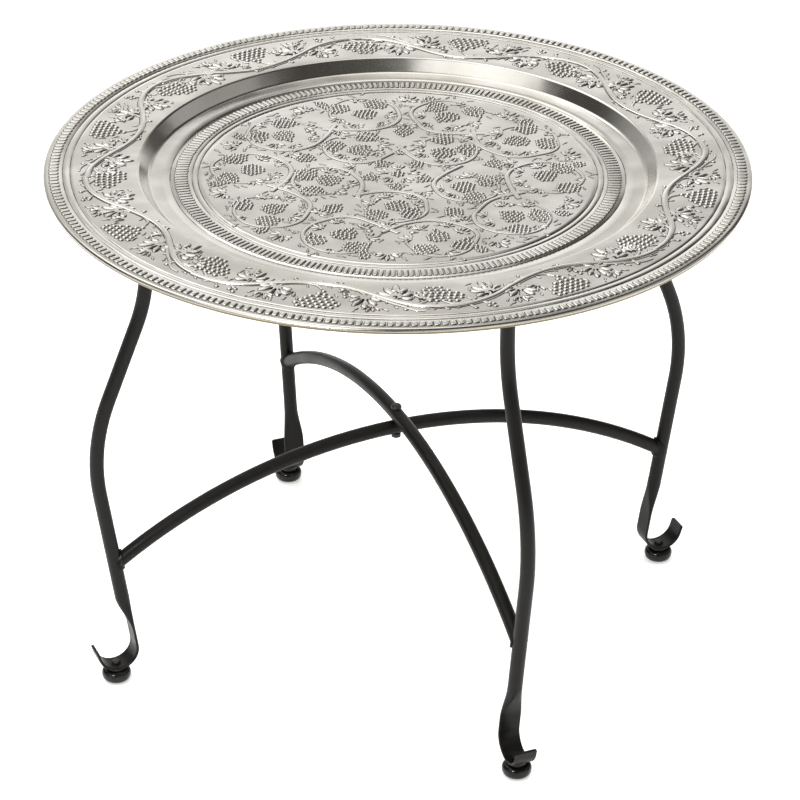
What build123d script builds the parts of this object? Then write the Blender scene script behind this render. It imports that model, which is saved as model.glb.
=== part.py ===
from build123d import *
import os
from math import asin, cos, degrees, radians, sin, sqrt, tan

# Folding tray table: a round pressed tray that rests, loose, on a black iron stand. The stand is two
# frames of two curved tube legs and an arched stretcher. The arches cross at right angles on one upright
# bolt, so the stand swivels flat. Origin: on the floor, on the axis of that bolt. +Z is up, and the lower
# frame stands in the XZ plane. Millimetres.

# Driving dimensions
TRAY_DIAMETER = 610.0
TABLE_HEIGHT = 464.0
SHEET = 1.2                     # thickness of the tray's sheet
WELL_DEPTH = 11.0               # rim face down to the well's floor
WELL_FLOOR_RADIUS = 214.5       # where the floor would meet the well's wall
WELL_TOP_RADIUS = 223.5         # where that wall would meet the rim
EDGE_WIRE = 3.0                 # diameter of the wire that the rim's edge is rolled round

TUBE = 12.7                     # outside diameter of legs and arches
TUBE_WALL = 1.2
LEG_TOP_RADIUS = 231.5          # from the stand's axis to an upright leg top
LEG_FLARE = 22.0                # degrees from upright, between the leg's two bends
LEG_TOE_IN = 8.65               # degrees from upright, below the lower bend
UPPER_BEND_HEIGHT = 379.4       # where the straight runs would meet at the upper bend
UPPER_BEND_RADIUS = 140.0
LOWER_BEND_HEIGHT = 241.2
LOWER_BEND_RADIUS = 175.0

ARCH_RADIUS = 480.0
LOWER_ARCH_HEIGHT = 202.5       # centre of the lower arch's tube at its crown
ARCH_GAP = 0.3                  # running clearance between the crossed arches

STRAP_WIDTH = 20.0              # the flattened foot of the leg tube
STRAP_THICKNESS = 2.4
STRAP_SHIFT = 2.6               # how far the press moves the strap's middle towards the stand's axis
FLATTEN_TOP = 86.0              # heights between which the tube is pressed flat
FLATTEN_BOTTOM = 52.0
HOOK_RADIUS = 18.0              # to the middle of the strap
HOOK_TIP_LEAN = 16.0            # degrees from upright at the hook's open end
HOOK_TIP_LENGTH = 7.0
HOOK_TIP_CORNER = 2.4

FOOT_DIAMETER = 26.0
FOOT_HEIGHT = 12.6
NECK_DIAMETER = 17.0
NECK_HEIGHT = 1.9               # from the ball up to the lowest point of the hook

CAP_HEAD = 2.6
CAP_SHANK = 14.0
FIT = 0.05                      # clearance of pieces fixed inside one another
BOLT = 5.0
BOLT_CLEARANCE = 0.08
BOLT_HEAD_DIAMETER = 9.5
BOLT_HEAD_HEIGHT = 3.6
NUT_ACROSS_FLATS = 8.0
NUT_HEIGHT = 3.4
SCREW = 4.0
SCREW_HEAD_DIAMETER = 7.6
SCREW_HEAD_HEIGHT = 2.3
SCREW_DEPTH = 8.0               # how far a foot's screw reaches into the ball
WELD_SIZE = 2.0

# Derived dimensions
TUBE_RADIUS = TUBE / 2
BORE_RADIUS = TUBE_RADIUS - TUBE_WALL
RIM_UNDERSIDE = TABLE_HEIGHT - SHEET
TUBE_TOP = RIM_UNDERSIDE - CAP_HEAD
FLARE_SLOPE = tan(radians(LEG_FLARE))
TOE_SLOPE = tan(radians(LEG_TOE_IN))
BELLY_RADIUS = LEG_TOP_RADIUS + FLARE_SLOPE * (UPPER_BEND_HEIGHT - LOWER_BEND_HEIGHT)
UPPER_ARCH_HEIGHT = LOWER_ARCH_HEIGHT + TUBE + ARCH_GAP
STRAP_UNDERSIDE = FOOT_HEIGHT + NECK_HEIGHT
HOOK_CENTRE_HEIGHT = STRAP_UNDERSIDE + STRAP_THICKNESS / 2 + HOOK_RADIUS
HOOK_START_HEIGHT = HOOK_CENTRE_HEIGHT + HOOK_RADIUS * sin(radians(LEG_TOE_IN))
ARCH_HOLE_RADIUS = BOLT / 2 + BOLT_CLEARANCE
EDGE_ROLL = EDGE_WIRE / 2 + FIT + SHEET     # radius of the rolled edge, outside
DIRECTIONS = {"right": 0, "back": 90, "left": 180, "front": 270}


def toe_line(height):
    """Distance of the leg's lower straight run from the stand's axis, at a height."""
    return BELLY_RADIUS - TOE_SLOPE * (LOWER_BEND_HEIGHT - height)


def strap_line(height):
    """The same for the middle of the flat strap, once the tube's outer wall is pressed in."""
    return toe_line(height) - STRAP_SHIFT


HOOK_CENTRE = strap_line(HOOK_START_HEIGHT) + HOOK_RADIUS * cos(radians(LEG_TOE_IN))


def in_plane(distance, height):
    """A point of the leg that stands on +X."""
    return (distance, 0, height)


def leg_route(bottom, top):
    """Middle line of one leg, from the toe-in run up to its top."""
    return FilletPolyline(
        in_plane(toe_line(bottom), bottom),
        in_plane(BELLY_RADIUS, LOWER_BEND_HEIGHT),
        in_plane(LEG_TOP_RADIUS, UPPER_BEND_HEIGHT),
        in_plane(LEG_TOP_RADIUS, top),
        radius=[LOWER_BEND_RADIUS, UPPER_BEND_RADIUS],
    )


def tube_along(route, radius):
    """A solid round bar along a route."""
    return sweep(Plane(route @ 0, z_dir=route % 0) * Circle(radius), path=route)


def strap_section(height, width, thickness, shift=STRAP_SHIFT):
    """Cross section of the flattened tube, square to the leg's toe-in run."""
    down = (-sin(radians(LEG_TOE_IN)), 0, -cos(radians(LEG_TOE_IN)))
    plane = Plane(origin=in_plane(toe_line(height) - shift, height), x_dir=(0, 1, 0), z_dir=down)
    return plane * RectangleRounded(width, thickness, thickness / 2 * 0.96)


def flattened_end():
    """The tube pressed from round to a flat strap. Its outline keeps about the same length."""
    drop = FLATTEN_TOP - FLATTEN_BOTTOM
    stages = (
        (TUBE, TUBE, 0),
        (14.3, 9.6, STRAP_SHIFT * 0.25),
        (17.7, 4.8, STRAP_SHIFT * 0.75),
        (STRAP_WIDTH, STRAP_THICKNESS, STRAP_SHIFT),
    )
    sections = []
    for step, (width, thickness, shift) in enumerate(stages):
        height = FLATTEN_TOP - drop * step / (len(stages) - 1)
        sections.append(strap_section(height, width, thickness, shift))
    return loft(sections)


def hook():
    """The strap below the flattened end, rolled outwards under the leg and up to an open tip."""
    start = in_plane(strap_line(FLATTEN_BOTTOM), FLATTEN_BOTTOM)
    bend = in_plane(strap_line(HOOK_START_HEIGHT), HOOK_START_HEIGHT)
    lowest = in_plane(HOOK_CENTRE, HOOK_CENTRE_HEIGHT - HOOK_RADIUS)
    lean = radians(HOOK_TIP_LEAN)
    rise = in_plane(
        HOOK_CENTRE + HOOK_RADIUS * cos(lean),
        HOOK_CENTRE_HEIGHT - HOOK_RADIUS * sin(lean),
    )
    tip = in_plane(rise[0] + HOOK_TIP_LENGTH * sin(lean), rise[2] + HOOK_TIP_LENGTH * cos(lean))
    route = Wire([
        Edge.make_line(start, bend),
        Edge.make_three_point_arc(bend, lowest, rise),
        Edge.make_line(rise, tip),
    ])
    strap = sweep(strap_section(FLATTEN_BOTTOM, STRAP_WIDTH, STRAP_THICKNESS), path=route)
    tip_plane = Plane(origin=rise, x_dir=(0, 1, 0), z_dir=(cos(lean), 0, -sin(lean)))
    beyond = Pos(0, HOOK_TIP_LENGTH) * Rectangle(STRAP_WIDTH + 4, HOOK_TIP_CORNER * 2)
    corners = beyond - RectangleRounded(STRAP_WIDTH, HOOK_TIP_LENGTH * 2, HOOK_TIP_CORNER)
    return strap - extrude(tip_plane * corners, STRAP_THICKNESS, both=True)


def leg():
    """One leg: hollow tube, pressed flat at the bottom, with the hook and the hole for the foot's screw."""
    tube = tube_along(leg_route(FLATTEN_TOP, TUBE_TOP), TUBE_RADIUS)
    bore = tube_along(leg_route(FLATTEN_TOP, TUBE_TOP + 1), BORE_RADIUS)
    hole = Pos(HOOK_CENTRE, 0, HOOK_CENTRE_HEIGHT - HOOK_RADIUS) * Cylinder(SCREW / 2 + 0.1, 8)
    return tube - bore + flattened_end() + hook() - hole


def arch_route(crown):
    """Middle line of an arch, from the leg on -X over the crown to the leg on +X."""
    drop_line = ARCH_RADIUS - sqrt(ARCH_RADIUS ** 2 - BELLY_RADIUS ** 2)
    reach = toe_line(crown - drop_line)
    drop = ARCH_RADIUS - sqrt(ARCH_RADIUS ** 2 - reach ** 2)
    return ThreePointArc(
        in_plane(-reach, crown - drop),
        in_plane(0, crown),
        in_plane(reach, crown - drop),
    )


def leg_core(radius):
    """The stretch of leg round the arches' ends, as a solid bar of any radius."""
    return tube_along(leg_route(FLATTEN_TOP, TUBE_TOP), radius)


def both_sides(shape):
    """A shape on +X and its copy on -X."""
    return shape + Rot(0, 0, 180) * shape


def arch(crown):
    """An arched tube, coped to the legs that it is welded between, drilled through its crown."""
    route = arch_route(crown)
    tube = tube_along(route, TUBE_RADIUS) - tube_along(route, BORE_RADIUS)
    hole = Pos(0, 0, crown) * Cylinder(ARCH_HOLE_RADIUS, TUBE * 2)
    return tube - both_sides(leg_core(TUBE_RADIUS)) - hole


def weld(crown):
    """Bead of weld where the arch meets the leg on +X."""
    route = arch_route(crown)
    end = Pos(BELLY_RADIUS, 0, crown) * Box(100, 60, 400)
    bead = tube_along(route, TUBE_RADIUS + WELD_SIZE) & leg_core(TUBE_RADIUS + WELD_SIZE) & end
    return bead - tube_along(route, TUBE_RADIUS) - leg_core(TUBE_RADIUS)


def cap():
    """Plastic plug in the top of a leg, with the rounded head that the tray's rim rests on."""
    shank = Pos(LEG_TOP_RADIUS, 0, TUBE_TOP - CAP_SHANK / 2) * Cylinder(BORE_RADIUS - FIT, CAP_SHANK)
    head = Pos(LEG_TOP_RADIUS, 0, TUBE_TOP + CAP_HEAD / 2) * Cylinder(TUBE_RADIUS, CAP_HEAD)
    head = fillet(head.edges().group_by(Axis.Z)[-1], CAP_HEAD * 0.6)
    return shank + head


def foot():
    """Turned bun foot: a squashed ball with a flat sole, and a neck hollowed to seat the hook."""
    middle = FOOT_HEIGHT / 2
    widest = FOOT_DIAMETER / 2
    sole = widest * 0.42
    neck = NECK_DIAMETER / 2
    seat = STRAP_UNDERSIDE + NECK_HEIGHT
    outline = Wire([
        Edge.make_line((0, 0, 0), (sole, 0, 0)),
        Edge.make_spline([(sole, 0, 0), (widest, 0, middle), (neck, 0, FOOT_HEIGHT)],
                         tangents=[(1, 0, 0.12), (-1, 0, 0.22)]),
        Edge.make_line((neck, 0, FOOT_HEIGHT), (neck, 0, seat)),
        Edge.make_line((neck, 0, seat), (0, 0, seat)),
        Edge.make_line((0, 0, seat), (0, 0, 0)),
    ])
    ball = revolve(Face(outline), Axis.Z)
    hook_outside = Cylinder(HOOK_RADIUS + STRAP_THICKNESS / 2, 60)
    strap = Pos(0, 0, HOOK_CENTRE_HEIGHT) * Rot(90, 0, 0) * hook_outside
    depth = SCREW_DEPTH + FIT + NECK_HEIGHT
    bore = Pos(0, 0, seat - depth / 2) * Cylinder(SCREW / 2 + FIT, depth)
    return Pos(HOOK_CENTRE, 0, 0) * (ball - strap - bore)


def foot_screw(leg_shape):
    """Round-head screw down through the hook into the foot. Its head is seated on the curved strap."""
    top_face = STRAP_UNDERSIDE + STRAP_THICKNESS
    shank_length = STRAP_THICKNESS + SCREW_DEPTH + 0.2
    shank = Pos(0, 0, top_face + 0.2 - shank_length / 2) * Cylinder(SCREW / 2, shank_length)
    head = Pos(0, 0, top_face + SCREW_HEAD_HEIGHT / 2) * Cylinder(SCREW_HEAD_DIAMETER / 2, SCREW_HEAD_HEIGHT)
    head = fillet(head.edges().group_by(Axis.Z)[-1], SCREW_HEAD_HEIGHT * 0.55)
    return Pos(HOOK_CENTRE, 0, 0) * (shank + head) - leg_shape


def pivot_bolt():
    """Upright bolt through both crowns, with a domed head on the upper arch."""
    seat = UPPER_ARCH_HEIGHT + TUBE_RADIUS
    end = LOWER_ARCH_HEIGHT - TUBE_RADIUS - NUT_HEIGHT - 0.6
    shank = Pos(0, 0, (seat + end) / 2) * Cylinder(BOLT / 2, seat - end)
    head = Pos(0, 0, seat + BOLT_HEAD_HEIGHT / 2) * Cylinder(BOLT_HEAD_DIAMETER / 2, BOLT_HEAD_HEIGHT)
    head = fillet(head.edges().group_by(Axis.Z)[-1], BOLT_HEAD_HEIGHT * 0.8)
    return shank + head


def pivot_nut():
    """Hexagon nut under the lower arch, which falls away a little to both sides of its crown."""
    seat = LOWER_ARCH_HEIGHT - TUBE_RADIUS - FIT
    hexagon = RegularPolygon(NUT_ACROSS_FLATS / 2, 6, major_radius=False)
    nut = extrude(Pos(0, 0, seat - NUT_HEIGHT) * hexagon, NUT_HEIGHT)
    return nut - Pos(0, 0, seat) * Cylinder(BOLT / 2 + FIT, NUT_HEIGHT * 4)


def wire_place():
    """Distance from the axis, and height, of the wire in the rim's rolled edge."""
    return TRAY_DIAMETER / 2 - EDGE_ROLL, TABLE_HEIGHT - EDGE_ROLL


def around_wire(angle):
    """A point on the outside of the rolled edge: 0 degrees is outwards and 90 is up."""
    distance, height = wire_place()
    return in_plane(distance + EDGE_ROLL * cos(radians(angle)), height + EDGE_ROLL * sin(radians(angle)))


def tray():
    """The pressed sheet: flat floor, rounded well wall, flat rim, and an edge rolled round the wire."""
    floor = TABLE_HEIGHT - WELL_DEPTH
    face = FilletPolyline(
        in_plane(0, floor),
        in_plane(WELL_FLOOR_RADIUS, floor),
        in_plane(WELL_TOP_RADIUS, TABLE_HEIGHT),
        around_wire(90),
        radius=[4.5, 3.6],
    )
    edge = Edge.make_three_point_arc(around_wire(90), around_wire(47.5), around_wire(-85))
    lip = Edge.make_three_point_arc(around_wire(-85), around_wire(-130), around_wire(-175))
    top = Wire(list(face.edges()) + [edge, lip])
    section = Face(top.offset_2d(SHEET, side=Side.RIGHT, closed=True))
    return revolve(section, Axis.Z)


def rim_wire():
    """Iron wire inside the rolled edge."""
    distance, height = wire_place()
    return Pos(0, 0, height) * Torus(distance, EDGE_WIRE / 2)


def write(node, shape):
    """One STEP file for each node."""
    export_step(shape, f"parts/{node}.step")


os.makedirs("parts", exist_ok=True)
write("tray", tray())
write("rim_wire", rim_wire())
one_leg = leg()
pieces = {"leg": one_leg, "cap": cap(), "foot": foot(), "foot_screw": foot_screw(one_leg)}
welds = {"lower": weld(LOWER_ARCH_HEIGHT), "upper": weld(UPPER_ARCH_HEIGHT)}
for side, angle in DIRECTIONS.items():
    place = Rot(0, 0, angle)
    for name, shape in pieces.items():
        write(f"{name}_{side}", place * shape)
    level = "upper" if side in ("front", "back") else "lower"
    write(f"weld_{side}", place * welds[level])
write("lower_arch", arch(LOWER_ARCH_HEIGHT))
write("upper_arch", Rot(0, 0, 90) * arch(UPPER_ARCH_HEIGHT))
write("pivot_bolt", pivot_bolt())
write("pivot_nut", pivot_nut())
print(f"hook centre {HOOK_CENTRE:.2f}, belly {BELLY_RADIUS:.2f}, closest fold "
      f"{2 * degrees(asin((FOOT_DIAMETER + 0.3) / 2 / HOOK_CENTRE)):.2f} degrees between frames")
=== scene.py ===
import math
import random

import bpy
from mathutils import Matrix, Vector


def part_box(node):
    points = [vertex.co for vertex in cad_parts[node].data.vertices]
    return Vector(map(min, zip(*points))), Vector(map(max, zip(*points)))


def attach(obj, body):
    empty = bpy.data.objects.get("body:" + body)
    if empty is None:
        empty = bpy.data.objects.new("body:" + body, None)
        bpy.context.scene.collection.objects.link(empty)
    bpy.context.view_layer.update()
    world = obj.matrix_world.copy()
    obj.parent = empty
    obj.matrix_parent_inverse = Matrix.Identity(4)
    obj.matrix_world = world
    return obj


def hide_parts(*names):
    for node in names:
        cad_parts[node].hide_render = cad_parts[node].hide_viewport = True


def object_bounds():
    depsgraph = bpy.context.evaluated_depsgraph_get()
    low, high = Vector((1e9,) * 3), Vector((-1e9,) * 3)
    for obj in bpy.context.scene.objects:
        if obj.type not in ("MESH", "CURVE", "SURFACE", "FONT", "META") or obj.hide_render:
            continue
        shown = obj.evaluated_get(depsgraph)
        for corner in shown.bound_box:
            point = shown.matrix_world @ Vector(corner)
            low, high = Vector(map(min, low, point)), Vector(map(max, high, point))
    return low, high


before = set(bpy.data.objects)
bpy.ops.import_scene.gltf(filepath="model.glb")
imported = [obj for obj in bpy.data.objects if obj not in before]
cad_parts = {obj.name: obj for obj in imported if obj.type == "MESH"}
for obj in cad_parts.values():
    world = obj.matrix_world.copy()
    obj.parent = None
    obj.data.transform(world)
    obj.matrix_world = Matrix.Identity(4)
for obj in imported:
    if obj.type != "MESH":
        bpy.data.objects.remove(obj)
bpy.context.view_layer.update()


# ---------------------------------------------------------------------------------------------------
# Camera: a long lens, from the front left and above, so that the tray is seen as a wide oval. It looks very
# near the middle of the table and is held slightly off level.
MM = 0.001
table_low, table_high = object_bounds()
aim = (table_low + table_high) / 2 + Vector((3.6, 0.3, -3.4)) * MM
azimuth = math.radians(-23.06)
elevation = math.radians(29.28)
roll = math.radians(-0.43)
camera_distance = 3.165
back_way = Vector((math.sin(azimuth) * math.cos(elevation),
                   -math.cos(azimuth) * math.cos(elevation), math.sin(elevation)))
bpy.ops.object.camera_add(location=aim + back_way * camera_distance)
camera = bpy.context.object
level_turn = back_way.to_track_quat("Z", "Y").to_matrix()
camera.rotation_euler = (level_turn @ Matrix.Rotation(-roll, 3, "Z")).to_euler()
camera.data.lens = 159.2
camera.data.clip_end = 60
bpy.context.scene.camera = camera


# ---------------------------------------------------------------------------------------------------
# Studio: a white, softly lit floor that runs out of sight, a broad light overhead, and a small square one
# at the left that shows only as a shine. The plate mirrors a dark room with glowing panels in it, which
# the camera itself doesn't see: to the camera, the room is a plain pale grey.
bpy.ops.mesh.primitive_plane_add(size=40)
floor = bpy.context.object
floor.name = "floor"
floor_paint = bpy.data.materials.new("floor_paint")
floor_paint.use_nodes = True
floor_shader = floor_paint.node_tree.nodes["Principled BSDF"]
floor_shader.inputs["Base Color"].default_value = (0.94, 0.94, 0.935, 1)
floor_shader.inputs["Roughness"].default_value = 0.9
floor_shader.inputs["Specular IOR Level"].default_value = 0.1
floor_shader.inputs["Emission Color"].default_value = (1.0, 0.995, 0.985, 1)
floor_shader.inputs["Emission Strength"].default_value = 0.5
floor.data.materials.append(floor_paint)

bpy.ops.object.light_add(type="AREA", location=(-0.3, -0.4, 3.0))
top_light = bpy.context.object
top_light.name = "top_light"
top_light.data.shape = "SQUARE"
top_light.data.size = 3.6
top_light.data.energy = 130
top_light.visible_glossy = False

bpy.ops.object.light_add(type="AREA", location=(-2.3, -1.9, 2.3))
side_light = bpy.context.object
side_light.name = "side_light"
side_light.rotation_euler = Vector((-2.3, -1.9, 2.0)).to_track_quat("Z", "Y").to_euler()
side_light.data.shape = "SQUARE"
side_light.data.size = 0.6
side_light.data.energy = 60
side_light.visible_diffuse = False

room = bpy.data.worlds.new("room")
bpy.context.scene.world = room
room.use_nodes = True
tree = room.node_tree
tree.nodes.clear()
way = tree.nodes.new("ShaderNodeTexCoord")

# Each panel's direction, the cosines at which its glow starts and is full, and its strength.
backdrop_panel = ((-0.05, 0.87, 0.49), 0.82, 0.95, 0.46)
above_backdrop = ((-0.08, 0.50, 0.86), 0.86, 0.95, 1.60)
high_front_left = ((-0.57, -0.18, 0.80), 0.915, 0.93, 1.35)
right_panel = ((0.90, -0.30, 0.32), 0.83, 0.87, 0.36)
low_back = ((0.10, 0.99, -0.10), 0.90, 0.98, 0.40)
low_back_right = ((0.50, 0.86, 0.05), 0.86, 0.94, 0.90)
low_front_right = ((0.50, -0.86, 0.10), 0.80, 0.90, 0.50)
low_left = ((-0.98, -0.10, 0.12), 0.80, 0.90, 0.45)
front_panel = ((0.0, -0.94, 0.34), 0.93, 0.975, 0.60)
glow = None
for toward, start, end, strength in (backdrop_panel, above_backdrop, high_front_left, right_panel, low_back,
                                     low_back_right, low_front_right, low_left, front_panel):
    along = tree.nodes.new("ShaderNodeVectorMath")
    along.operation = "DOT_PRODUCT"
    along.inputs[1].default_value = toward
    tree.links.new(way.outputs["Generated"], along.inputs[0])
    panel = tree.nodes.new("ShaderNodeMapRange")
    panel.inputs["From Min"].default_value = start
    panel.inputs["From Max"].default_value = end
    panel.inputs["To Max"].default_value = strength
    tree.links.new(along.outputs["Value"], panel.inputs["Value"])
    if glow:
        both = tree.nodes.new("ShaderNodeMath")
        tree.links.new(glow, both.inputs[0])
        tree.links.new(panel.outputs["Result"], both.inputs[1])
        glow = both.outputs["Value"]
    else:
        glow = panel.outputs["Result"]
room_colour = tree.nodes.new("ShaderNodeMix")
room_colour.data_type = "RGBA"
room_colour.clamp_factor = False
room_colour.inputs["A"].default_value = (0.060, 0.056, 0.050, 1)
room_colour.inputs["B"].default_value = (1.0, 0.99, 0.965, 1)
tree.links.new(glow, room_colour.inputs["Factor"])
seen = tree.nodes.new("ShaderNodeLightPath")
backdrop = tree.nodes.new("ShaderNodeMix")
backdrop.data_type = "RGBA"
backdrop.inputs["B"].default_value = (0.93, 0.93, 0.93, 1)
tree.links.new(seen.outputs["Is Camera Ray"], backdrop.inputs["Factor"])
tree.links.new(room_colour.outputs["Result"], backdrop.inputs["A"])
shine = tree.nodes.new("ShaderNodeBackground")
tree.links.new(backdrop.outputs["Result"], shine.inputs["Color"])
sky = tree.nodes.new("ShaderNodeOutputWorld")
tree.links.new(shine.outputs["Background"], sky.inputs["Surface"])
bpy.context.scene.view_settings.view_transform = "Standard"


# ---------------------------------------------------------------------------------------------------
# Stand: mild steel tube, bent, welded and brushed with one coat of satin black. The paint has faint
# brush marks, dull patches from handling and small bright rubs.
SIDES = ("right", "back", "left", "front")


def effect(name, outputs):
    """A new node group that reads Object coordinates and puts out the named values."""
    group = bpy.data.node_groups.new(name, "ShaderNodeTree")
    for label, kind in outputs.items():
        group.interface.new_socket(label, in_out="OUTPUT", socket_type=kind)
    place = group.nodes.new("ShaderNodeTexCoord")
    result = group.nodes.new("NodeGroupOutput")
    return group, place.outputs["Object"], result


def noise(tree, where, scale, detail=3.0, roughness=0.5, stretch=None):
    """A noise texture over the surface, with its pattern drawn out where stretch is given."""
    if stretch:
        mapping = tree.nodes.new("ShaderNodeMapping")
        mapping.inputs["Scale"].default_value = stretch
        tree.links.new(where, mapping.inputs["Vector"])
        where = mapping.outputs["Vector"]
    texture = tree.nodes.new("ShaderNodeTexNoise")
    texture.inputs["Scale"].default_value = scale
    texture.inputs["Detail"].default_value = detail
    texture.inputs["Roughness"].default_value = roughness
    tree.links.new(where, texture.inputs["Vector"])
    return texture.outputs["Fac"]


def remap(tree, value, low, high, new_low=0.0, new_high=1.0):
    """The value stretched from one range to another, and held inside it."""
    node = tree.nodes.new("ShaderNodeMapRange")
    node.inputs["From Min"].default_value = low
    node.inputs["From Max"].default_value = high
    node.inputs["To Min"].default_value = new_low
    node.inputs["To Max"].default_value = new_high
    tree.links.new(value, node.inputs["Value"])
    return node.outputs["Result"]


def blend_colour(tree, mask, first, second):
    """Two colours, or colour sockets, mixed by a mask."""
    node = tree.nodes.new("ShaderNodeMix")
    node.data_type = "RGBA"
    tree.links.new(mask, node.inputs["Factor"])
    for socket, colour in (("A", first), ("B", second)):
        if isinstance(colour, tuple):
            node.inputs[socket].default_value = (*colour, 1)
        else:
            tree.links.new(colour, node.inputs[socket])
    return node.outputs["Result"]


def calculate(tree, operation, first, second):
    """Arithmetic on two values, each a socket or a number."""
    node = tree.nodes.new("ShaderNodeMath")
    node.operation = operation
    for index, value in enumerate((first, second)):
        if isinstance(value, (int, float)):
            node.inputs[index].default_value = value
        else:
            tree.links.new(value, node.inputs[index])
    return node.outputs["Value"]


# Signs of handling: dull smudges some centimetres wide, small rubs, and the fine grain of the surface.
handling, where, result = effect("handling", {"Smudge": "NodeSocketFloat", "Rub": "NodeSocketFloat",
                                              "Grain": "NodeSocketFloat"})
smudge = remap(handling, noise(handling, where, scale=17, detail=4, roughness=0.55), 0.35, 0.68)
rub = remap(handling, noise(handling, where, scale=160, detail=5, roughness=0.7), 0.66, 0.74)
grain = noise(handling, where, scale=1400, detail=2)
handling.links.new(smudge, result.inputs["Smudge"])
handling.links.new(rub, result.inputs["Rub"])
handling.links.new(grain, result.inputs["Grain"])


def finish(name, **constants):
    """A new material with these constants set on its shader, its node tree, and the shader."""
    material = bpy.data.materials.new(name)
    material.use_nodes = True
    shader = material.node_tree.nodes["Principled BSDF"]
    for socket, value in constants.items():
        shader.inputs[socket.replace("_", " ")].default_value = value
    return material, material.node_tree, shader


def place_effect(tree, group):
    """An effect's node group put in a material: its outputs."""
    node = tree.nodes.new("ShaderNodeGroup")
    node.node_tree = group
    return node.outputs


def emboss(tree, shader, height, distance, strength=1.0, under=None):
    """A bump so many metres high on the shader, laid over another bump where one is given."""
    node = tree.nodes.new("ShaderNodeBump")
    node.inputs["Distance"].default_value = distance
    node.inputs["Strength"].default_value = strength
    tree.links.new(height, node.inputs["Height"])
    if under:
        tree.links.new(under, node.inputs["Normal"])
    tree.links.new(node.outputs["Normal"], shader.inputs["Normal"])
    return node.outputs["Normal"]


def dress(material, *names):
    """One material on CAD nodes."""
    for name in names:
        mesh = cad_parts[name].data
        mesh.materials.clear()
        mesh.materials.append(material)


iron_paint, tree, shader = finish("iron_paint", Coat_Weight=0.10, Coat_Roughness=0.14,
                                  Specular_IOR_Level=0.14)
marks = place_effect(tree, handling)
tone = blend_colour(tree, marks["Smudge"], (0.0045, 0.0041, 0.0035), (0.0080, 0.0073, 0.0062))
tree.links.new(blend_colour(tree, marks["Rub"], tone, (0.05, 0.047, 0.042)), shader.inputs["Base Color"])
tree.links.new(remap(tree, marks["Smudge"], 0, 1, 0.38, 0.54), shader.inputs["Roughness"])
brushed = noise(tree, tree.nodes.new("ShaderNodeTexCoord").outputs["Object"], scale=420, roughness=0.6,
                stretch=(1, 1, 0.12))
under = emboss(tree, shader, brushed, 0.12 * MM)
emboss(tree, shader, marks["Grain"], 0.04 * MM, under=under)
dress(iron_paint, "lower_arch", "upper_arch", *[f"leg_{side}" for side in SIDES],
      *[f"weld_{side}" for side in SIDES])


# ---------------------------------------------------------------------------------------------------
# Feet: turned balls dipped in thick gloss black, which has a soft orange-peel skin.
ball_gloss, tree, shader = finish("ball_gloss", Coat_Weight=0.25, Coat_Roughness=0.05,
                                  Specular_IOR_Level=0.15)
marks = place_effect(tree, handling)
tree.links.new(blend_colour(tree, marks["Smudge"], (0.006, 0.006, 0.0055), (0.011, 0.0105, 0.0095)),
               shader.inputs["Base Color"])
tree.links.new(remap(tree, marks["Smudge"], 0, 1, 0.12, 0.26), shader.inputs["Roughness"])
peel = noise(tree, tree.nodes.new("ShaderNodeTexCoord").outputs["Object"], scale=300, detail=2)
emboss(tree, shader, peel, 0.15 * MM)
dress(ball_gloss, *[f"foot_{side}" for side in SIDES])


# ---------------------------------------------------------------------------------------------------
# Bolt, nut and foot screws: black-oxide steel, with the metal showing through at a few rubs.
oxide_steel, tree, shader = finish("oxide_steel", Metallic=0.65)
marks = place_effect(tree, handling)
tree.links.new(blend_colour(tree, marks["Rub"], (0.030, 0.028, 0.026), (0.22, 0.21, 0.20)),
               shader.inputs["Base Color"])
tree.links.new(remap(tree, marks["Smudge"], 0, 1, 0.30, 0.48), shader.inputs["Roughness"])
emboss(tree, shader, marks["Grain"], 0.05 * MM)
dress(oxide_steel, "pivot_bolt", "pivot_nut", *[f"foot_screw_{side}" for side in SIDES])


# ---------------------------------------------------------------------------------------------------
# Caps: moulded black plastic plugs in the leg tops, with a fine sparkle texture.
cap_plastic, tree, shader = finish("cap_plastic")
marks = place_effect(tree, handling)
tree.links.new(blend_colour(tree, marks["Smudge"], (0.012, 0.012, 0.012), (0.022, 0.022, 0.021)),
               shader.inputs["Base Color"])
tree.links.new(remap(tree, marks["Smudge"], 0, 1, 0.50, 0.66), shader.inputs["Roughness"])
emboss(tree, shader, marks["Grain"], 0.12 * MM)
dress(cap_plastic, *[f"cap_{side}" for side in SIDES])


# ---------------------------------------------------------------------------------------------------
# Edge wire: plain drawn iron, seen only as a grey line inside the tray's rolled lip.
wire_iron, tree, shader = finish("wire_iron", Metallic=0.8)
marks = place_effect(tree, handling)
tree.links.new(blend_colour(tree, marks["Smudge"], (0.26, 0.25, 0.24), (0.36, 0.33, 0.30)),
               shader.inputs["Base Color"])
tree.links.new(remap(tree, marks["Smudge"], 0, 1, 0.42, 0.60), shader.inputs["Roughness"])
emboss(tree, shader, marks["Grain"], 0.04 * MM)
dress(wire_iron, "rim_wire")


# ---------------------------------------------------------------------------------------------------
# Tray: sheet brass, spun to shape and nickel plated. Its plain rings keep the spinner's fine circles.
# The plate is a warm white, duller where it is handled. Under the rolled edge it carries painted shade in a
# dark golden tint.
RIM_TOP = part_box("tray")[1].z
RADIUS = 305 * MM
SHEET = 1.2 * MM
WELL_DEPTH = 11 * MM
FLOOR_TOP = RIM_TOP - WELL_DEPTH
EDGE_ROLL = 2.75 * MM

# Lines chased round the tray: their distances from its middle in millimetres, their width and depth.
FLOOR_LINES = (172.5, 177.5)
OUTER_FLOOR_LINE = 196.5
RIM_LINES = (281.8, 288.2)
LINE_WIDTH = 0.50 * MM
LINE_DEPTH = 0.30 * MM
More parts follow.
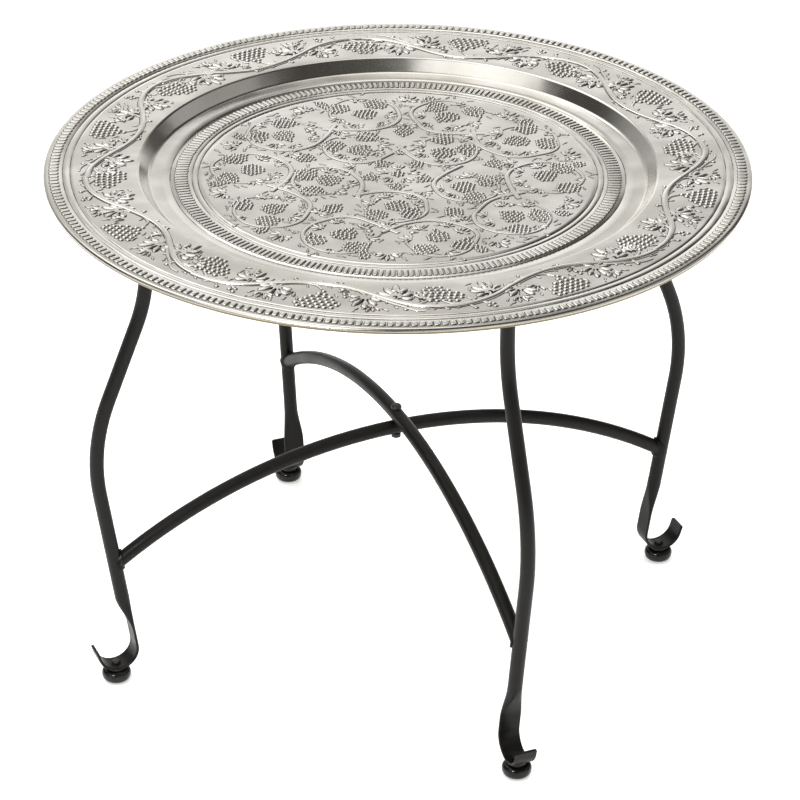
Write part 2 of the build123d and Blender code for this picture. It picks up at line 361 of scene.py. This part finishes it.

# Signs of spinning: fine circles, a slow wave in the sheet, dirt left in the chased lines, and the mask of
# the edge's underside, where painted shade goes.
spinning, where, result = effect("spinning", {"Circles": "NodeSocketFloat", "Wave": "NodeSocketFloat",
                                              "Chased": "NodeSocketFloat", "Edge": "NodeSocketFloat"})
flat = spinning.nodes.new("ShaderNodeVectorMath")
flat.operation = "MULTIPLY"
flat.inputs[1].default_value = (1, 1, 0)
spinning.links.new(where, flat.inputs[0])
reach = spinning.nodes.new("ShaderNodeVectorMath")
reach.operation = "LENGTH"
spinning.links.new(flat.outputs["Vector"], reach.inputs[0])
circles = spinning.nodes.new("ShaderNodeTexNoise")
circles.noise_dimensions = "1D"
circles.inputs["Scale"].default_value = 1500
circles.inputs["Detail"].default_value = 4
circles.inputs["Roughness"].default_value = 0.7
spinning.links.new(reach.outputs["Value"], circles.inputs["W"])
spinning.links.new(circles.outputs["Fac"], result.inputs["Circles"])
wave = noise(spinning, where, scale=14, detail=2, roughness=0.45)
spinning.links.new(wave, result.inputs["Wave"])
chased = None
for distance in (*FLOOR_LINES, OUTER_FLOOR_LINE, *RIM_LINES):
    off = calculate(spinning, "SUBTRACT", reach.outputs["Value"], distance * MM)
    off = calculate(spinning, "ABSOLUTE", off, 0)
    line = remap(spinning, off, 0.25 * MM, 0.60 * MM, 1, 0)
    chased = line if chased is None else calculate(spinning, "MAXIMUM", chased, line)
patchy = remap(spinning, noise(spinning, where, scale=55), 0.36, 0.60, 0.25, 1)
spinning.links.new(calculate(spinning, "MULTIPLY", chased, patchy), result.inputs["Chased"])
height = spinning.nodes.new("ShaderNodeSeparateXYZ")
spinning.links.new(where, height.inputs["Vector"])
# The underside of the rolled edge, which is given painted shade.
below = remap(spinning, height.outputs["Z"], RIM_TOP - 2.9 * MM, RIM_TOP - 2.0 * MM, 1, 0)
outside = remap(spinning, reach.outputs["Value"], RADIUS - 5 * MM, RADIUS - 3 * MM)
spinning.links.new(calculate(spinning, "MULTIPLY", below, outside), result.inputs["Edge"])


LINE_DIRT = (0.13, 0.12, 0.10)
# Painted shade under the rolled edge, in a dark golden tint.
GOLDEN_EDGE_SHADE = (0.16, 0.13, 0.068)
# Tarnish and painted shade, laid on the plate at the foot of raised work.
TARNISH_AND_SHADE = (0.10, 0.092, 0.078)


def nickel(name, dark, pale, smooth, rough, circle_height, wave_height, tarnish_and_shade_from=None):
    """Plate of one look. Where a height is given as the last argument, it is that of the sheet that raised
    work
    stands on: just above it, in the hollows at the foot of the raised work, the plate is darkened with
    tarnish and painted shade."""
    material, tree, shader = finish(name, Metallic=1.0)
    marks = place_effect(tree, handling)
    spun = place_effect(tree, spinning)
    colour = blend_colour(tree, marks["Smudge"], pale, dark)
    colour = blend_colour(tree, spun["Chased"], colour, LINE_DIRT)
    # Painted shade, dark golden, under the rolled edge.
    colour = blend_colour(tree, spun["Edge"], colour, GOLDEN_EDGE_SHADE)
    if tarnish_and_shade_from is not None:
        split = tree.nodes.new("ShaderNodeSeparateXYZ")
        tree.links.new(tree.nodes.new("ShaderNodeTexCoord").outputs["Object"], split.inputs["Vector"])
        # Painted shade with some tarnish: the plate is darkened in the hollows at the foot of raised work.
        hollow_tarnish_and_shade = remap(tree, split.outputs["Z"], tarnish_and_shade_from + 0.10 * MM, tarnish_and_shade_from + 0.42 * MM, 1, 0)
        colour = blend_colour(tree, hollow_tarnish_and_shade, colour, TARNISH_AND_SHADE)
    tree.links.new(colour, shader.inputs["Base Color"])
    dull = remap(tree, marks["Smudge"], 0, 1, smooth, rough)
    tree.links.new(calculate(tree, "ADD", dull, calculate(tree, "MULTIPLY", marks["Rub"], 0.06)),
                   shader.inputs["Roughness"])
    under = emboss(tree, shader, spun["Wave"], wave_height)
    emboss(tree, shader, spun["Circles"], circle_height, under=under)
    return material


sheet_plate = nickel("sheet_plate", dark=(0.67, 0.65, 0.605), pale=(0.78, 0.765, 0.725), smooth=0.15,
                     rough=0.25, circle_height=0.012 * MM, wave_height=1.6 * MM)


def deselect():
    """Leave edit mode and select nothing."""
    if bpy.context.mode != "OBJECT":
        bpy.ops.object.mode_set(mode="OBJECT")
    bpy.ops.object.select_all(action="DESELECT")


def draw_profile(name, points):
    """A new piece that is one open line of edges, drawn point by point in the XZ plane."""
    deselect()
    bpy.ops.mesh.primitive_plane_add(size=1 * MM, location=(0, 0, 0))
    piece = bpy.context.object
    piece.name = piece.data.name = name
    bpy.ops.object.mode_set(mode="EDIT")
    bpy.ops.mesh.select_all(action="SELECT")
    bpy.ops.mesh.merge(type="CENTER")
    bpy.ops.transform.translate(value=(points[0][0], 0, points[0][1]))
    for (x0, z0), (x1, z1) in zip(points, points[1:]):
        bpy.ops.mesh.extrude_region_move(TRANSFORM_OT_translate={"value": (x1 - x0, 0, z1 - z0)})
    return piece


def arc_points(centre, radius, start, end, count):
    """Points along an arc of the profile; angles in degrees, 0 along +X and 90 up."""
    points = []
    for step in range(count + 1):
        angle = math.radians(start + (end - start) * step / count)
        points.append((centre[0] + radius * math.cos(angle), centre[1] + radius * math.sin(angle)))
    return points


def groove(distance, level):
    """A shallow chased line in a flat part of the profile, its bottom rounded."""
    shoulder = LINE_WIDTH * 0.45
    half_down = level - LINE_DEPTH * 0.6
    return [(distance - LINE_WIDTH, level), (distance - shoulder, half_down), (distance, level - LINE_DEPTH),
            (distance + shoulder, half_down), (distance + LINE_WIDTH, level)]


# The profile runs from the middle of the floor outwards. The wall slopes from the floor's corner up to the
# rim's, both rounded, and the edge is rolled down and in round its wire.
floor_corner = 214.5 * MM
rim_corner = 223.5 * MM
floor_bend = 4.5 * MM
rim_bend = 3.6 * MM
wall_angle = math.degrees(math.atan2(WELL_DEPTH, rim_corner - floor_corner))
floor_bend_x = floor_corner - floor_bend * math.tan(math.radians(wall_angle / 2))
rim_bend_x = rim_corner + rim_bend * math.tan(math.radians(wall_angle / 2))
profile = [(distance * MM, FLOOR_TOP) for distance in range(0, 169, 12)]
for distance in FLOOR_LINES:
    profile += groove(distance * MM, FLOOR_TOP)
profile += [(181 * MM, FLOOR_TOP), (187 * MM, FLOOR_TOP)]
profile += groove(OUTER_FLOOR_LINE * MM, FLOOR_TOP)
profile += [(204 * MM, FLOOR_TOP)]
profile += arc_points((floor_bend_x, FLOOR_TOP + floor_bend), floor_bend, -90, -90 + wall_angle, 8)
profile += arc_points((rim_bend_x, RIM_TOP - rim_bend), rim_bend, 90 + wall_angle, 90, 8)
profile += [(distance * MM, RIM_TOP) for distance in range(234, 280, 9)]
for distance in RIM_LINES:
    profile += groove(distance * MM, RIM_TOP)
profile += [(295 * MM, RIM_TOP)]
profile += arc_points((RADIUS - EDGE_ROLL, RIM_TOP - EDGE_ROLL), EDGE_ROLL, 90, -175, 22)

tray_sheet = draw_profile("tray_sheet", profile)
bpy.ops.mesh.select_all(action="SELECT")
bpy.ops.mesh.spin(steps=288, angle=math.tau, center=(0, 0, 0), axis=(0, 0, 1))
bpy.ops.mesh.select_all(action="SELECT")
bpy.ops.mesh.remove_doubles(threshold=0.01 * MM)
bpy.ops.mesh.normals_make_consistent(inside=False)
bpy.ops.object.mode_set(mode="OBJECT")
middle_face = min(tray_sheet.data.polygons, key=lambda face: face.center.xy.length)
if middle_face.normal.z < 0:
    bpy.ops.object.mode_set(mode="EDIT")
    bpy.ops.mesh.flip_normals()
    bpy.ops.object.mode_set(mode="OBJECT")
thickness = tray_sheet.modifiers.new("sheet_thickness", "SOLIDIFY")
thickness.thickness = SHEET
thickness.offset = -1
bpy.ops.object.modifier_apply(modifier=thickness.name)
bpy.ops.object.shade_smooth_by_angle(angle=math.radians(50))
tray_sheet.data.materials.append(sheet_plate)
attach(tray_sheet, "tray_top")
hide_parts("tray")


# ---------------------------------------------------------------------------------------------------
# Beading: two rings of short raised bars struck from below, one just inside the rolled edge and one
# round the well's floor. Each bar is a rounded pad with a narrow flat ledge round it, low enough for the
# plate's tarnish and painted shade to make it dark.

# A pad's outline starts so many millimetres below the sheet. Its ledge takes two steps, inwards and upwards.
SUNK = 0.08
LEDGE = ((0.05, 0.12), (0.42, 0.02))


def pick(piece, wanted):
    """Select the piece's vertices that a rule wants, and go to edit mode."""
    bpy.ops.object.mode_set(mode="EDIT")
    bpy.ops.mesh.select_mode(type="VERT")
    bpy.ops.mesh.select_all(action="DESELECT")
    bpy.ops.object.mode_set(mode="OBJECT")
    for vertex in piece.data.vertices:
        vertex.select = wanted(vertex.co)
    bpy.ops.object.mode_set(mode="EDIT")


def pad(name, length, width, corners, steps, crown, stalk=1.0):
    """A raised oval form with so many corners, or with none a rounded bar, longer along X. Its outline is
    inset and raised in steps of millimetres, its end on -X is narrowed by the stalk factor, and its bottom
    is closed."""
    deselect()
    margin = 2 * sum(inwards for inwards, _ in LEDGE)
    if corners:
        bpy.ops.mesh.primitive_circle_add(vertices=corners, radius=1 * MM, fill_type="NGON",
                                          rotation=(0, 0, math.pi / corners))
        bpy.ops.object.transform_apply(location=False)
    else:
        bpy.ops.mesh.primitive_plane_add(size=2 * MM)
    piece = bpy.context.object
    piece.name = name
    bpy.ops.object.mode_set(mode="EDIT")
    half_size = ((length + margin) / 2, (width + margin) / 2, 1)
    bpy.ops.transform.resize(value=half_size, center_override=(0, 0, 0))
    bpy.ops.transform.translate(value=(0, 0, -SUNK * MM))
    if not corners:
        bpy.ops.mesh.bevel(offset=width * 0.36 * MM, segments=3, affect="VERTICES")
    bpy.ops.object.mode_set(mode="OBJECT")
    if stalk < 1:
        for reach in (-length / 8, -length / 3):
            pick(piece, lambda place: place.x < reach * MM)
            bpy.ops.transform.resize(value=(1, math.sqrt(stalk), 1), center_override=(0, 0, 0))
            bpy.ops.object.mode_set(mode="OBJECT")
    bpy.ops.object.mode_set(mode="EDIT")
    bpy.ops.mesh.select_mode(type="FACE")
    bpy.ops.mesh.select_all(action="SELECT")
    for inwards, upwards in LEDGE + steps:
        bpy.ops.mesh.inset(thickness=inwards * MM, depth=0)
        bpy.ops.transform.translate(value=(0, 0, upwards * MM))
    bpy.ops.mesh.poke(offset=crown * MM, use_relative_offset=False)
    bpy.ops.mesh.select_mode(type="VERT")
    bpy.ops.mesh.select_all(action="SELECT")
    bpy.ops.mesh.fill_holes(sides=0)
    bpy.ops.mesh.select_all(action="SELECT")
    bpy.ops.mesh.normals_make_consistent(inside=False)
    bpy.ops.object.mode_set(mode="OBJECT")
    return piece


def copy_to(piece, moves):
    """Copies of a form, each with its own mesh, moved by the matrices and joined to one new piece."""
    deselect()
    for move in moves:
        twin = piece.copy()
        twin.data = piece.data.copy()
        twin.data.transform(move)
        bpy.context.scene.collection.objects.link(twin)
        twin.select_set(True)
        bpy.context.view_layer.objects.active = twin
    if len(moves) > 1:
        bpy.ops.object.join()
    return bpy.context.object


def at(x, y, z=0.0, turn=0.0, size=1.0):
    """A place on the tray: x, y in millimetres, z in metres, a turn in degrees, and a size factor."""
    return (Matrix.Translation((x * MM, y * MM, z)) @ Matrix.Rotation(math.radians(turn), 4, "Z")
            @ Matrix.Scale(size, 4))


def ring_of(form, count, distance, level, seed):
    """The form repeated round the tray, a little unevenly, as it is struck by hand."""
    chance = random.Random(seed)
    moves = []
    for step in range(count):
        angle = math.tau * (step + chance.uniform(-0.06, 0.06)) / count
        out = distance + chance.uniform(-0.15, 0.15)
        moves.append(at(out * math.cos(angle), out * math.sin(angle), level,
                        math.degrees(angle) + chance.uniform(-2.5, 2.5), chance.uniform(0.97, 1.03)))
    return copy_to(form, moves)


def settle(piece, name, material):
    """Finish a piece of raised work: its name, its plate, soft shading, and the tray it rides on."""
    piece.name = piece.data.name = name
    piece.data.materials.clear()
    piece.data.materials.append(material)
    deselect()
    piece.select_set(True)
    bpy.context.view_layer.objects.active = piece
    bpy.ops.object.shade_smooth_by_angle(angle=math.radians(62))
    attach(piece, "tray_top")


# Both relief plates carry tarnish and painted shade at the foot of the raised work, just above the sheet
# height given.
rim_plate = nickel("rim_relief_plate", dark=(0.66, 0.64, 0.595), pale=(0.84, 0.825, 0.785), smooth=0.19,
                   rough=0.28, circle_height=0.01 * MM, wave_height=1.0 * MM, tarnish_and_shade_from=RIM_TOP)
floor_plate = nickel("floor_relief_plate", dark=(0.64, 0.62, 0.575), pale=(0.83, 0.815, 0.775), smooth=0.19,
                     rough=0.28, circle_height=0.01 * MM, wave_height=1.0 * MM, tarnish_and_shade_from=FLOOR_TOP)
edge_bar = pad("edge_bar", length=8.0, width=5.0, corners=0,
               steps=((0.32, 0.42), (0.42, 0.22), (0.50, 0.08)), crown=0.04)
edge_ring = ring_of(edge_bar, count=300, distance=295.8, level=RIM_TOP, seed=3)
settle(edge_ring, "edge_beading", rim_plate)
floor_bar = pad("floor_bar", length=11.4, width=3.6, corners=0,
                steps=((0.25, 0.34), (0.34, 0.18), (0.36, 0.06)), crown=0.03)
floor_ring = ring_of(floor_bar, count=240, distance=187.0, level=FLOOR_TOP, seed=4)
settle(floor_ring, "floor_beading", floor_plate)
for form in (edge_bar, floor_bar):
    bpy.data.objects.remove(form)


# ---------------------------------------------------------------------------------------------------
# Rim band: a running vine, raised from below, with eight repeats of two grape bunches, four large leaves,
# smaller leaves, berries and short stubs with knobs. Grapes are domes, and leaves are fans of finger-shaped
# lobes.
FINGER_LENGTH = 14.0
grape = pad("grape", length=4.7, width=4.7, corners=10,
            steps=((0.32, 0.40), (0.50, 0.34), (0.65, 0.24)), crown=0.08)
finger = pad("finger", length=FINGER_LENGTH, width=4.9, corners=12,
             steps=((0.36, 0.40), (0.55, 0.34), (0.68, 0.18)), crown=0.05, stalk=0.55)

# Rows of grapes lie so many pitches apart. A leaf's lobes are so many degrees apart, and start so many
# millimetres from its stalk.
ROW_SPACING = 0.87
LOBE_ANGLE = 31
LOBE_START = 1.8


def bunch(counts, pitch, size, lean, seed):
    """A grape bunch in rows of so many grapes, hanging towards -Y from its stalk at the origin. Each row is
    shifted along X by the lean."""
    chance = random.Random(seed)
    moves = []
    for line, count in enumerate(counts):
        for step in range(count):
            x = (step - (count - 1) / 2) * pitch + line * lean
            y = -line * pitch * ROW_SPACING
            moves.append(at(x + chance.uniform(-0.3, 0.3), y + chance.uniform(-0.3, 0.3), 0,
                            chance.uniform(0, 360), size * chance.uniform(0.93, 1.06)))
    return copy_to(grape, moves)


def leaf(size, seed, lobes=7):
    """A leaf opening towards +Y from its stalk at the origin: the middle lobe is the longest."""
    chance = random.Random(seed)
    moves = []
    for lobe in range(lobes):
        side = lobe - (lobes - 1) / 2
        turn = 90 + side * LOBE_ANGLE + chance.uniform(-5, 5)
        length = (1.06 - 0.13 * abs(side)) * chance.uniform(0.93, 1.07)
        out = (LOBE_START + FINGER_LENGTH / 2 * length) * size
        moves.append(at(0, 0, 0, turn) @ Matrix.Translation((out * MM, 0, 0))
                     @ Matrix.Diagonal((length * size, size, 1, 1)))
    return copy_to(finger, moves)


# The section that every stem is drawn with, for a width of 2 mm: half round, with a ledge at each side.
stem_line = bpy.data.curves.new("stem_section", "CURVE")
stem_line.dimensions = "2D"
left_side = [(-1.20, -0.10), (-1.18, 0.04), (-1.0, 0.05), (-0.93, 0.25), (-0.72, 0.38), (-0.38, 0.46)]
half_round = left_side + [(0, 0.49)] + [(-x, y) for x, y in reversed(left_side)]
spline = stem_line.splines.new("POLY")
spline.points.add(len(half_round) - 1)
for point, (x, y) in zip(spline.points, half_round):
    point.co = (x * MM, y * MM, 0, 1)
spline.use_cyclic_u = True
stem_section = bpy.data.objects.new("stem_section", stem_line)
bpy.context.scene.collection.objects.link(stem_section)


def stem(points, thick, thin, resolution=4):
    """A half-round stem along a smooth line through the points, from one width to another, in mm."""
    deselect()
    line = bpy.data.curves.new("stem", "CURVE")
    line.dimensions = "3D"
    line.twist_mode = "Z_UP"
    line.resolution_u = resolution
    line.bevel_mode = "OBJECT"
    line.bevel_object = stem_section
    line.use_fill_caps = True
    spline = line.splines.new("BEZIER")
    spline.bezier_points.add(len(points) - 1)
    for step, (knot, (x, y)) in enumerate(zip(spline.bezier_points, points)):
        knot.co = (x * MM, y * MM, 0)
        knot.handle_left_type = knot.handle_right_type = "AUTO"
        knot.radius = (thick + (thin - thick) * step / (len(points) - 1)) / 2
    piece = bpy.data.objects.new("stem", line)
    bpy.context.scene.collection.objects.link(piece)
    piece.select_set(True)
    bpy.context.view_layer.objects.active = piece
    bpy.ops.object.convert(target="MESH")
    return bpy.context.object


def join(pieces):
    """Several pieces joined to the first."""
    deselect()
    for piece in pieces:
        piece.select_set(True)
    bpy.context.view_layer.objects.active = pieces[0]
    bpy.ops.object.join()
    return bpy.context.object


def put(piece, x, y, turn=0.0, size=1.0):
    """Move a piece to its place in the pattern, in millimetres and degrees."""
    piece.data.transform(at(x, y, 0, turn, size))
    return piece


def stub(x, y, turn, length=6.5):
    """A short bent stub with a knob at its end, growing from a stem towards +Y."""
    shoot = stem([(0, 0), (0.3, length * 0.45), (1.4, length * 0.8)], 2.6, 2.2)
    knob = put(copy_to(grape, [Matrix.Identity(4)]), 1.7, length, 0, 0.82)
    return put(join([shoot, knob]), x, y, turn)


def lobe(x, y, turn, size):
    """A single leaf lobe lying on its own."""
    return put(copy_to(finger, [Matrix.Identity(4)]), x, y, turn, size)


# The band's middle line is so many millimetres from the tray's middle, and its first repeat starts at so
# many degrees. The repeats drift by up to so many millimetres.
REPEATS = 8
BAND_MIDDLE = 256.0
PATTERN_START = 29.5
DRIFT = 0.9

# One repeat, laid out flat: X runs along the band, Y outwards from its middle line, in millimetres.
fruit = join([
    put(bunch((5, 7, 8, 7, 5, 3), pitch=5.25, size=1.0, lean=-1.1, seed=11), 3, 2.5, 4),
    put(bunch((6, 7, 6, 5, 4, 2, 1), pitch=5.15, size=0.98, lean=0.6, seed=12), 105, 18.5, -4),
    put(bunch((2, 1), pitch=4.6, size=0.86, lean=0, seed=17), 38, 18.0, 30),
    put(bunch((2, 1), pitch=4.6, size=0.86, lean=0, seed=18), 127, -6.5, 200),
])
foliage = join([
    stem([(-2, 12.6), (18, 11.5), (43, 2.8), (67, -11.5), (92, -20.5), (116, -21.5), (134, -16.5),
          (152, -7.2), (171, 3.6), (186, 9.8), (201, 12.6)], thick=5.4, thin=5.4, resolution=6),
    put(leaf(1.22, 13), 68, -5, 12),
    put(leaf(1.20, 14), 43, -5, 168),
    put(leaf(1.20, 15), 142, -5, -6),
    put(leaf(1.34, 16), 166, -5, 186),
    put(leaf(0.85, 19, 5), 187, -1, -150),
    put(leaf(0.60, 20, 3), 128, -15, 60),
    put(leaf(0.70, 21, 3), 84, -3, 25),
    put(leaf(0.72, 22, 5), 62, 9, -20),
    put(leaf(0.70, 23, 5), 148, 10, 20),
    put(leaf(0.66, 24, 5), 36, -15, -80),
    put(leaf(0.66, 25, 5), 172, -14, 80),
    stem([(12, 11.8), (8, 8), (3, 4)], 3.2, 2.2),
    stem([(88, -19), (99, -17), (105, -11)], 3.2, 2.2),
    stem([(74, -16), (71, -11), (68, -4)], 3.4, 2.4),
    stem([(40, 4), (42, -1), (43, -6)], 3.4, 2.4),
    stem([(134, -16.5), (140, -10), (142, -4)], 3.4, 2.4),
    stem([(163, -1), (165, -4), (166, -7)], 3.4, 2.4),
    stem([(146, -11), (158, 1), (170, 9), (180, 17), (188, 19)], 3.2, 2.0),
    stem([(180, 7), (190, 3), (193, -2)], 3.0, 2.0),
    stub(22, 11.5, -12, 7.5),
    stub(175, 8, 24, 7.5),
    stub(81, -17, 160, 7),
    stub(55, -5, -20, 8.5),
    stub(121, -21, 175, 4.5),
    stub(32, 8, -35, 7),
    *[lobe(x, y, turn, size) for x, y, turn, size in (
        (14, 15, 150, 0.55), (3, 16, 35, 0.50), (28, 3.5, -60, 0.55), (59, -12, -75, 0.60),
        (66, -15, -50, 0.55), (99, -25, -20, 0.50), (91, -15, 60, 0.50), (110, -17.5, 25, 0.45),
        (113, -25.5, 165, 0.50), (152, -13, -60, 0.60), (146, -6, 75, 0.55), (160, 2, 110, 0.60),
        (166, 11, 65, 0.50), (183, 4, -35, 0.55), (196, 8.5, -50, 0.50), (193, 16, 20, 0.50),
        (89, 8, 80, 0.55), (122, 8, 70, 0.60), (118, -4, 55, 0.50), (52, 12, 120, 0.50),
        (28, -14, 100, 0.50), (24, 2, -120, 0.50), (-20, -6, 100, 0.50), (178, -18, 70, 0.50),
        (70, 17, 60, 0.50), (80, 12, 100, 0.50), (54, 19, -30, 0.50), (136, 17, -60, 0.50),
        (158, 16, 40, 0.50), (46, -21, 20, 0.45), (30, -22, -20, 0.45), (160, -20, 30, 0.45),
        (182, -13, 70, 0.45))],
])


def bend_round(piece, number):
    """Bend a flat repeat round the rim, with a slow drift that makes no two repeats quite alike: in and out
    five times in a round, and to and fro three times."""
    for vertex in piece.data.vertices:
        x, y = vertex.co.x / MM, vertex.co.y / MM
        turn = math.radians(PATTERN_START) + x / BAND_MIDDLE + math.tau * number / REPEATS
        out = BAND_MIDDLE + y + DRIFT * math.sin(5 * turn + number * 1.7)
        turn += DRIFT * math.sin(3 * turn + y / 19) / BAND_MIDDLE
        vertex.co = (out * MM * math.cos(turn), out * MM * math.sin(turn), vertex.co.z + RIM_TOP)


for form, name in ((fruit, "rim_grapes"), (foliage, "rim_vine")):
    band = []
    for number in range(REPEATS):
        band.append(copy_to(form, [Matrix.Identity(4)]))
        bend_round(band[-1], number)
    settle(join(band), name, rim_plate)
    bpy.data.objects.remove(form)


# ---------------------------------------------------------------------------------------------------
# Middle of the well: ten scrolls of vine round five more, each with three small bunches, leaves, loose
# lobes and stubs. Every second scroll in a ring is turned the other way. More leaves, lobes and bunches
# fill the gaps, and a small bunch with leaves round it is the centre.

# A scroll's bunches and leaves are laid out for one of this radius in millimetres, and spread or drawn in
# for others. Its vine winds inwards in so many steps of so many degrees, less far out at each.
DRAWN_RADIUS = 36
WINDING_STEPS = 11
WINDING_TURN = 34


def scroll(radius, seed):
    """A scroll of vine round its origin, and its grapes, with +Y outwards from the tray's middle."""
    chance = random.Random(seed)
    scale = radius / DRAWN_RADIUS
    whirl = [(-1.12 * radius, -0.66 * radius)]
    for step in range(WINDING_STEPS):
        turn = math.radians(-112 + step * WINDING_TURN)
        reach = radius * (1.03 - 0.035 * step) * chance.uniform(0.94, 1.05)
        whirl.append((reach * math.cos(turn), reach * math.sin(turn)))
    vine = [stem(whirl, thick=4.6, thin=2.4), put(copy_to(grape, [Matrix.Identity(4)]), *whirl[-1], 0, 1.1)]
    fruit = []
    for x, y, turn in ((-12, 21, -38), (14, 20, 34), (1, 3, 6)):
        rows = chance.choice(((3, 5, 6, 5, 5, 3, 1), (4, 5, 6, 5, 4, 2), (3, 5, 5, 5, 4, 2, 1)))
        fruit.append(put(bunch(rows, pitch=3.95, size=0.80, lean=chance.uniform(-0.5, 0.5), seed=seed + x),
                         (x + chance.uniform(-2, 2)) * scale, (y + chance.uniform(-2, 2)) * scale,
                         turn + chance.uniform(-12, 12)))
    for x, y, turn, size, lobes in ((-20, -6, 130, 0.72, 5), (20, -8, -120, 0.70, 5), (-9, -21, 175, 0.62, 5),
                                    (1, 22, 5, 0.62, 3), (13, -21, 200, 0.60, 5)):
        vine.append(put(leaf(size, seed * 3 + x, lobes), x * scale, y * scale,
                        turn + chance.uniform(-15, 15)))
    for step in range(18):
        angle = -95 + step * 20 + chance.uniform(-6, 6)
        side = chance.choice((-1, 1, 1))
        reach = radius * (1.0 - 0.016 * step) + side * 5.2
        vine.append(lobe(reach * math.cos(math.radians(angle)), reach * math.sin(math.radians(angle)),
                         angle + 90 - side * chance.uniform(20, 55), chance.uniform(0.42, 0.60)))
    for angle, turn in ((10, -80), (155, 65), (75, -15)):
        x, y = radius * math.cos(math.radians(angle)), radius * math.sin(math.radians(angle))
        vine.append(put(stub(0, 0, 0, 5.5), x, y, turn + chance.uniform(-15, 15), 0.9))
    return join(vine), join(fruit)


def mirror(piece):
    """Turn a piece over left to right, and its faces outwards again."""
    piece.data.transform(Matrix.Diagonal((-1, 1, 1, 1)))
    deselect()
    piece.select_set(True)
    bpy.context.view_layer.objects.active = piece
    bpy.ops.object.mode_set(mode="EDIT")
    bpy.ops.mesh.select_all(action="SELECT")
    bpy.ops.mesh.flip_normals()
    bpy.ops.object.mode_set(mode="OBJECT")


def set_out(piece, distance, angle, turn=0.0):
    """Place a piece on the well's floor, its +Y pointing outwards before it is turned."""
    return put(piece, distance * math.cos(math.radians(angle)), distance * math.sin(math.radians(angle)),
               angle - 90 + turn)


vines, grapes = [], []

# A ring of scrolls: their radius, how far out they lie, how many there are, and the angle of the first.
outer_ring = (37.0, 130, 10, 10)
inner_ring = (32.0, 66, 5, 28)
for radius, distance, count, start in (outer_ring, inner_ring):
    for step in range(count):
        vine, fruit = scroll(radius, count * 7 + step)
        for piece in (vine, fruit):
            if step % 2:
                mirror(piece)
            set_out(piece, distance, start + 360 / count * step)
        vines.append(vine)
        grapes.append(fruit)

# Leaves and bunches between the outer ring's scrolls.
for step in range(10):
    vines.append(set_out(leaf(0.86, 50 + step, 7), 152, 28 + 36 * step))
    vines.append(set_out(leaf(0.74, 60 + step, 7), 103, 26 + 36 * step, 180))
    grapes.append(set_out(bunch((2, 3, 3, 2, 1), pitch=3.65, size=0.74, lean=0, seed=95 + step),
                          163, 21 + 36 * step))

# Loose lobes in the gaps inside and outside the outer ring of scrolls.
chance = random.Random(5)
for step in range(120):
    distance = chance.choice((160, 164, 98, 104, 90, 152))
    vines.append(set_out(lobe(0, 0, 0, chance.uniform(0.4, 0.62)), distance, 3 * step + chance.uniform(-1, 1),
                         chance.uniform(-60, 60)))

# The centre, and what lies between it and the outer ring.
for step in range(5):
    vines.append(set_out(leaf(0.75, 70 + step, 3), 8, 64 + 72 * step))
    vines.append(set_out(leaf(0.66, 75 + step, 5), 40, 64 + 72 * step))
    grapes.append(set_out(bunch((2, 3, 4, 2, 1), pitch=3.75, size=0.74, lean=0, seed=80 + step),
                          31, 100 + 72 * step))
    grapes.append(set_out(bunch((3, 4, 5, 4, 3, 1), pitch=3.75, size=0.76, lean=0, seed=85 + step),
                          94, 64 + 72 * step))
for step in range(10):
    vines.append(set_out(lobe(0, 0, 0, 0.52), 22, 10 + 36 * step, -30 if step % 2 else 35))
grapes.append(put(bunch((2, 3, 2), pitch=4.4, size=0.85, lean=0, seed=90), 0, 4))

# The vines are struck flatter than the grapes.
for pieces, name, relief in ((vines, "floor_vines", 0.60), (grapes, "floor_grapes", 1.35)):
    piece = join(pieces)
    piece.data.transform(Matrix.Translation((0, 0, FLOOR_TOP)) @ Matrix.Diagonal((1, 1, relief, 1)))
    settle(piece, name, floor_plate)
for form in (grape, finger, stem_section):
    bpy.data.objects.remove(form)
